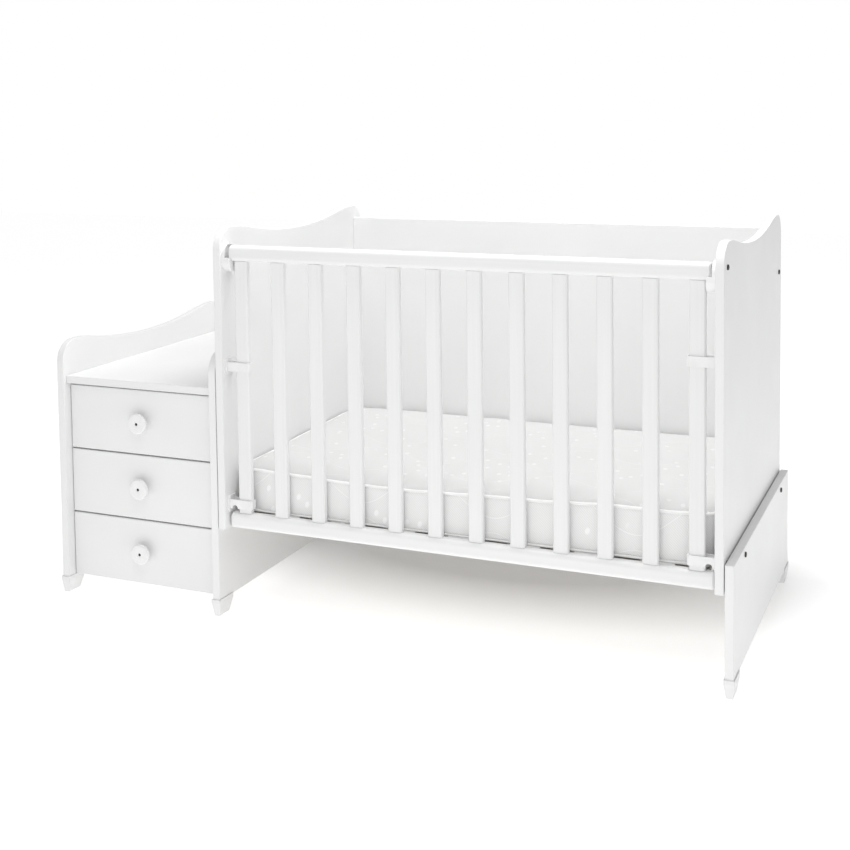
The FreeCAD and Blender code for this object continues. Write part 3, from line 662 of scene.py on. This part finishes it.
def cap_exposed_bolts():
    """Caps on the bolt heads that show: both crib ends' outer faces and the leg board's."""
    right_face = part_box("crib_right_end")[1].x
    left_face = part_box("crib_left_end")[0].x
    leg_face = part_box("leg_board")[1].x
    fitting_low, fitting_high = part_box("fitting_bolts")
    corner_low, corner_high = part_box("corner_bolts")
    link_low, link_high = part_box("link_bolts")
    gate_spot = ((fitting_low.y + fitting_high.y) / 2, fitting_high.z - BOLT_HEAD_RADIUS)
    back_spot = ((corner_low.y + corner_high.y) / 2, corner_high.z - BOLT_HEAD_RADIUS)
    link_z = (link_low.z + link_high.z) / 2
    spots = [((face, *spot), way) for face, way in ((right_face, 1), (left_face, -1))
             for spot in (gate_spot, back_spot)]
    spots += [((leg_face, side, link_z), 1)
              for side in (link_low.y + BOLT_HEAD_RADIUS, link_high.y - BOLT_HEAD_RADIUS)]
    for count, (place, outward) in enumerate(spots, start=1):
        cap = cap_bolt(place, outward)
        make_piece(f"bolt_cap_{count}", cap, blackened_steel, "frame", smooth=False)


# Mattress

def quilt_distance(along, across):
    """Distance from a point of the flat cover to the nearest stitched wave."""
    step = 2 * math.pi / QUILT_LENGTH
    wave = math.sin(step * along)
    slope = QUILT_SWAY * step * math.cos(step * along)
    row = round(across / QUILT_PITCH)
    away = min(abs(across - near * QUILT_PITCH - (1 if near % 2 == 0 else -1) * QUILT_SWAY * wave)
               for near in (row - 1, row, row + 1))
    return away / math.sqrt(1 + slope * slope)


def round_the_edge(place):
    """How far a point lies along the mattress's rounded border, from its front edge's middle."""
    x, y = place.x - MATTRESS_MIDDLE.x, place.y - MATTRESS_MIDDLE.y
    corner_x, corner_y = MATTRESS_HALF.x - CORNER_ROUND, MATTRESS_HALF.y - CORNER_ROUND
    quarter = CORNER_ROUND * math.pi / 2
    sign = 1.0 if x >= 0 else -1.0
    x = abs(x)
    if y <= -corner_y and x <= corner_x:
        run = x
    elif y < -corner_y:
        run = corner_x + CORNER_ROUND * math.atan2(x - corner_x, -corner_y - y)
    elif y <= corner_y and (MATTRESS_HALF.x - x) <= (MATTRESS_HALF.y - y):
        run = corner_x + quarter + (y + corner_y)
    elif x > corner_x:
        run = corner_x + quarter + 2 * corner_y + CORNER_ROUND * math.atan2(y - corner_y, x - corner_x)
    else:
        run = 2 * corner_x + 2 * quarter + 2 * corner_y - x
    return sign * run


def clamp(share):
    return min(max(share, 0.0), 1.0)


def ramp(value, start, full):
    """0 at start, 1 at full, and eased between them."""
    share = clamp((value - start) / (full - start))
    return share * share * (3 - 2 * share)


def seam_rise(place):
    """How far the top seam rises here over its lowest stretch."""
    front = RIGHT_RISE * ramp(place.x, RIGHT_FROM, RIGHT_TO) + LEFT_RISE * ramp(place.x, LEFT_FROM, LEFT_TO)
    return front + (BACK_RISE - front) * ramp(place.y, MATTRESS_LOW.y, MATTRESS_HIGH.y)


def front_press(place):
    """How far the filling presses the border towards the slats here, none at the corners and the base."""
    from_end = min(place.x - MATTRESS_LOW.x, MATTRESS_HIGH.x - place.x)
    near_front = ramp(place.y - MATTRESS_LOW.y, FRONT_FROM, FRONT_TO)
    clear_of_ends = ramp(from_end, ENDS_FROM, ENDS_TO)
    above_base = ramp(place.z - MATTRESS_LOW.z, BASE_FROM, BASE_TO)
    return FRONT_FULL * near_front * clear_of_ends * above_base


def settle(place):
    """The unevenness of a filled cover that lies in use, none where it rests on the base."""
    lift = clamp((place.z - MATTRESS_LOW.z) / (TOP_SEAM - MATTRESS_LOW.z))
    slow = noise.noise_vector(place * SLOW_RATE)
    quick = noise.noise_vector(place * QUICK_RATE)
    uneven = (slow * SLOW_UNEVEN + quick * QUICK_UNEVEN) * min(lift * 2, 1.0)
    return uneven + Vector((0, -front_press(place), seam_rise(place) * lift))


def flat_cover_block():
    """The cover before it is filled: a rounded block, a little inside the full size."""
    low = MATTRESS_LOW + Vector((START_SLACK, START_SLACK, 0.0))
    high = Vector((MATTRESS_HIGH.x - START_SLACK, MATTRESS_HIGH.y - START_SLACK, TOP_SEAM + START_TOP))
    bm = bmesh.new()
    bmesh.ops.create_cube(bm, size=1.0)
    bmesh.ops.scale(bm, verts=bm.verts, vec=high - low)
    bmesh.ops.translate(bm, verts=bm.verts, vec=(high + low) / 2)
    upright = [edge for edge in bm.edges if abs(edge.verts[0].co.z - edge.verts[1].co.z) > 0.01]
    round_edges(bm, upright, CORNER_ROUND - START_SLACK, 10)
    border = [edge for edge in bm.edges if abs(edge.calc_face_angle(0.0)) > 1.0]
    round_edges(bm, border, START_ROUND, 3)
    bmesh.ops.triangulate(bm, faces=bm.faces)
    return bm


def crown_at(place):
    """Height of the filled top here over its seam: a rolled border with pleats, then flat."""
    inward = max(min(MATTRESS_HALF.x - abs(place.x - MATTRESS_MIDDLE.x),
                     MATTRESS_HALF.y - abs(place.y - MATTRESS_MIDDLE.y)), 0.0)
    drop = 1 - min(inward / ROLL, 1.0)
    along = Vector((round_the_edge(place) * PUCKER_RATE, 0.0, 0.0))
    pleat = noise.noise(along) * math.exp(-inward / PUCKER_FADE)
    return CROWN * (1 - drop * drop) + PUCKER * pleat


def is_sewn(place, normal):
    """True where the cover is held: underside, border seams and quilted waves."""
    if place.z < MATTRESS_LOW.z + RESTING:
        return True
    if normal.z > FACES_UP:
        return quilt_distance(place.x, place.y) < QUILT_HALF_WIDTH
    near_seam = min(abs(place.z - TOP_SEAM), abs(place.z - LOW_SEAM)) < SEAM_HALF_WIDTH
    return near_seam or quilt_distance(round_the_edge(place), TOP_SEAM - place.z) < QUILT_HALF_WIDTH


def shaped_mesh(piece):
    """The piece's mesh as its modifiers shape it."""
    return bpy.data.meshes.new_from_object(piece.evaluated_get(bpy.context.evaluated_depsgraph_get()))


def fill_cover(piece):
    """Presses the cover out by cloth simulation, held at its seams, and caps its swell."""
    scene = bpy.context.scene
    rest = [vert.co.copy() for vert in piece.data.vertices]
    sewn = piece.vertex_groups.new(name="sewn")
    held = [vert.index for vert in piece.data.vertices if is_sewn(vert.co, vert.normal)]
    sewn.add(held, 1.0, "ADD")
    cloth = piece.modifiers.new("fill", "CLOTH")
    cloth.settings.vertex_group_mass = "sewn"
    cloth.settings.use_pressure = True
    cloth.settings.uniform_pressure_force = PRESSURE
    cloth.settings.effector_weights.gravity = 0.0
    cloth.settings.quality = 5
    cloth.settings.mass = 0.25
    cloth.settings.tension_stiffness = 12.0
    cloth.settings.compression_stiffness = 12.0
    cloth.settings.shear_stiffness = 5.0
    cloth.settings.bending_stiffness = 0.4
    cloth.point_cache.frame_start = 1
    cloth.point_cache.frame_end = STEPS
    for step in range(1, STEPS + 1):
        scene.frame_set(step)
    filled = shaped_mesh(piece)
    piece.modifiers.clear()
    scene.frame_set(1)
    for vert, start in zip(filled.vertices, rest):
        swell = vert.co - start
        if swell.length > PUFF_LIMIT:
            swell *= PUFF_LIMIT / swell.length
        vert.co = start + swell
    piece.data = filled


def lay_out_cover(mesh):
    """The cover's own UV map in metres: the top as it lies, the border unrolled along its length."""
    mesh.uv_layers.new(name="cover")
    mesh.attributes.new("border", "FLOAT", "CORNER")
    layer = mesh.uv_layers["cover"]
    border = mesh.attributes["border"]
    for face in mesh.polygons:
        on_border = abs(face.normal.z) < FACES_UP
        for loop in face.loop_indices:
            place = mesh.vertices[mesh.loops[loop].vertex_index].co
            border.data[loop].value = float(on_border)
            if on_border:
                layer.data[loop].uv = (round_the_edge(place), TOP_SEAM - place.z)
            else:
                layer.data[loop].uv = (place.x, place.y)


def make_mattress():
    """The cover: an even skin over the block, crowned, filled and settled in use."""
    mesh = bpy.data.meshes.new("filled_mattress")
    bm = flat_cover_block()
    bm.to_mesh(mesh)
    bm.free()
    piece = set_in_scene("filled_mattress", mesh)
    voxels = piece.modifiers.new("voxels", "REMESH")
    voxels.mode = "VOXEL"
    voxels.voxel_size = VOXEL
    piece.data = shaped_mesh(piece)
    piece.modifiers.clear()
    for vert in piece.data.vertices:
        height = (vert.co.z - LOW_SEAM) / (TOP_SEAM - LOW_SEAM)
        top_quarter = clamp(height * 4 - 3)
        vert.co.z += crown_at(vert.co) * top_quarter
    fill_cover(piece)
    for vert in piece.data.vertices:
        vert.co += settle(vert.co)
        vert.co.z = max(vert.co.z, MATTRESS_LOW.z)
    lay_out_cover(piece.data)
    for face in piece.data.polygons:
        face.use_smooth = True
    piece.data.materials.clear()
    piece.data.materials.append(mattress_cover)
    piece.data.name = "filled_mattress"
    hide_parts("mattress")
    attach(piece, "mattress")


def sew_piping(name, height, proud):
    """A piped seam round the border: a cord's circle drawn along the sides and turned at the corners."""
    inset = START_SLACK - proud
    low = Vector((MATTRESS_LOW.x + inset, MATTRESS_LOW.y + inset, height))
    high = Vector((MATTRESS_HIGH.x - inset, MATTRESS_HIGH.y - inset, height))
    radius = CORNER_ROUND - inset
    bm = bmesh.new()
    start = Matrix.Translation((low.x + radius, low.y, height))
    upright = Matrix.Rotation(math.radians(90), 4, "Y")
    verts = bmesh.ops.create_circle(bm, segments=10, radius=PIPING_RADIUS, matrix=start @ upright)["verts"]
    edges = edges_on(verts)
    long_side = high.x - low.x - 2 * radius
    short_side = high.y - low.y - 2 * radius
    corners = [(high.x - radius, low.y + radius), (high.x - radius, high.y - radius),
               (low.x + radius, high.y - radius), (low.x + radius, low.y + radius)]
    runs = [(Vector((1, 0, 0)), long_side), (Vector((0, 1, 0)), short_side),
            (Vector((-1, 0, 0)), long_side), (Vector((0, -1, 0)), short_side)]
    for (heading, length), corner in zip(runs, corners):
        lengths = max(int(length / PIPING_STEP), 1)
        for _ in range(lengths):
            drawn = bmesh.ops.extrude_edge_only(bm, edges=edges)["geom"]
            verts = verts_in(drawn)
            edges = [edge for edge in edges_in(drawn) if edge.verts[0] in verts and edge.verts[1] in verts]
            bmesh.ops.translate(bm, verts=verts, vec=heading * (length / lengths))
        turned = bmesh.ops.spin(bm, geom=verts + edges, cent=(*corner, height), axis=(0, 0, 1),
                                angle=math.radians(90), steps=8)["geom_last"]
        verts = verts_in(turned)
        edges = edges_in(turned)
    bmesh.ops.remove_doubles(bm, verts=bm.verts, dist=1e-5)
    for vert in bm.verts:
        vert.co += settle(vert.co)
    make_piece(name, bm, piping_tape, "mattress")


# Studio

def lay_floor():
    """A pale sweep that glows in the open, a painted light, and less under the crib, a painted shadow."""
    bm = bmesh.new()
    bmesh.ops.create_grid(bm, x_segments=1, y_segments=1, size=FLOOR_REACH)
    mesh = bpy.data.meshes.new("pale_floor")
    bm.to_mesh(mesh)
    bm.free()
    floor = set_in_scene("pale_floor", mesh)
    material, tree, shader, coords = new_finish("pale_floor")
    haze = cloud(tree, coords.outputs["Object"], 1.5, 2.0)
    tree.links.new(blend_tones(tree, haze, FLOOR_DIM, FLOOR_PALE), shader.inputs["Base Color"])
    shader.inputs["Roughness"].default_value = 0.9
    shader.inputs["Specular IOR Level"].default_value = 0.1
    shader.inputs["Emission Color"].default_value = PURE_WHITE
    # The glow dims towards this footprint under the crib: a painted shadow.
    painted_shadow_footprint = put(tree, "ShaderNodeMapping", Vector=coords.outputs["Object"], Location=SHADE_OFFSET,
                    Scale=SHADE_STRETCH)
    away = put(tree, "ShaderNodeVectorMath", {"operation": "LENGTH"}, Vector=painted_shadow_footprint.outputs[0])
    glow = spread(tree, away.outputs["Value"], SHADE_CORE, SHADE_EDGE,
                  FLOOR_GLOW * FLOOR_GLOW_IN_PAINTED_SHADOW, FLOOR_GLOW)
    tree.links.new(glow, shader.inputs["Emission Strength"])
    mesh.materials.append(material)


def hang_softbox(name, place, target, width, height, power):
    """A rectangular softbox at a place, facing a target."""
    light = bpy.data.lights.new(name, "AREA")
    light.shape = "RECTANGLE"
    light.size, light.size_y = width, height
    light.energy = power
    box = set_in_scene(name, light)
    box.location = place
    box.rotation_euler = (Vector(target) - Vector(place)).to_track_quat("-Z", "Y").to_euler()


def light_studio():
    """A white surround, two softboxes over the crib and two before it. The surround shows as pure white."""
    scene = bpy.context.scene
    world = bpy.data.worlds.new("white_studio")
    world.use_nodes = True
    tree = world.node_tree
    surround = tree.nodes["Background"]
    surround.inputs["Color"].default_value = PURE_WHITE
    surround.inputs["Strength"].default_value = SURROUND_LIGHT
    backdrop = put(tree, "ShaderNodeBackground", Color=PURE_WHITE, Strength=1.0)
    seen = tree.nodes.new("ShaderNodeLightPath").outputs["Is Camera Ray"]
    either = put(tree, "ShaderNodeMixShader", Fac=seen)
    tree.links.new(surround.outputs[0], either.inputs[1])
    tree.links.new(backdrop.outputs[0], either.inputs[2])
    tree.links.new(either.outputs[0], tree.nodes["World Output"].inputs["Surface"])
    scene.world = world
    hang_softbox("ceiling_softbox", place=(0.2, -0.1, 2.6), target=(0.2, 0.0, 0.0),
                 width=1.2, height=1.0, power=30.0)
    hang_softbox("crib_softbox", place=(0.5, -0.1, 1.8), target=(-0.2, 0.0, 0.4),
                 width=0.8, height=0.6, power=2.8)
    hang_softbox("high_front_softbox", place=(0.35, -1.9, 2.7), target=(0.2, -0.1, 0.4),
                 width=0.7, height=0.7, power=9.5)
    hang_softbox("near_softbox", place=(1.1, -2.4, 1.0), target=(0.25, -0.3, 0.32),
                 width=0.5, height=0.5, power=2.0)
    scene.view_settings.view_transform = "Standard"


def set_camera():
    """The photograph's viewpoint, fitted to the object's straight edges. The picture is 850 wide."""
    stand = (1.2638, -2.9871, 1.1799)
    yaw, pitch, roll = math.radians(23.637), math.radians(-3.777), math.radians(-0.733)
    focal, centre_x, centre_y, picture = 1354.8, 405.98, 190.55, 850.0
    ahead = Vector((-math.sin(yaw) * math.cos(pitch), math.cos(yaw) * math.cos(pitch), math.sin(pitch)))
    level = Vector((math.cos(yaw), math.sin(yaw), 0.0))
    upright = level.cross(ahead)
    right = math.cos(roll) * level + math.sin(roll) * upright
    up = -math.sin(roll) * level + math.cos(roll) * upright
    data = bpy.data.cameras.new("viewpoint")
    data.sensor_width = 36.0
    data.lens = focal * data.sensor_width / picture
    data.shift_x = (picture / 2 - centre_x) / picture
    data.shift_y = (centre_y - picture / 2) / picture
    camera = set_in_scene("viewpoint", data)
    turn = Matrix((right, up, -ahead)).transposed()
    camera.matrix_world = Matrix.Translation(stand) @ turn.to_4x4()
    bpy.context.scene.camera = camera


set_camera()
dress_cad_nodes()
for drawer_name, screw_turn in SCREW_TURNS.items():
    knob_centre, well_bottom = turn_knob(drawer_name)
    drive_screw(drawer_name, knob_centre, well_bottom, math.radians(screw_turn))
cap_exposed_bolts()
noise.seed_set(SETTLE_SEED)
make_mattress()
sew_piping("top_piping", TOP_SEAM, TOP_PIPING_PROUD)
sew_piping("lower_piping", LOW_SEAM, LOW_PIPING_PROUD)
lay_floor()
light_studio()
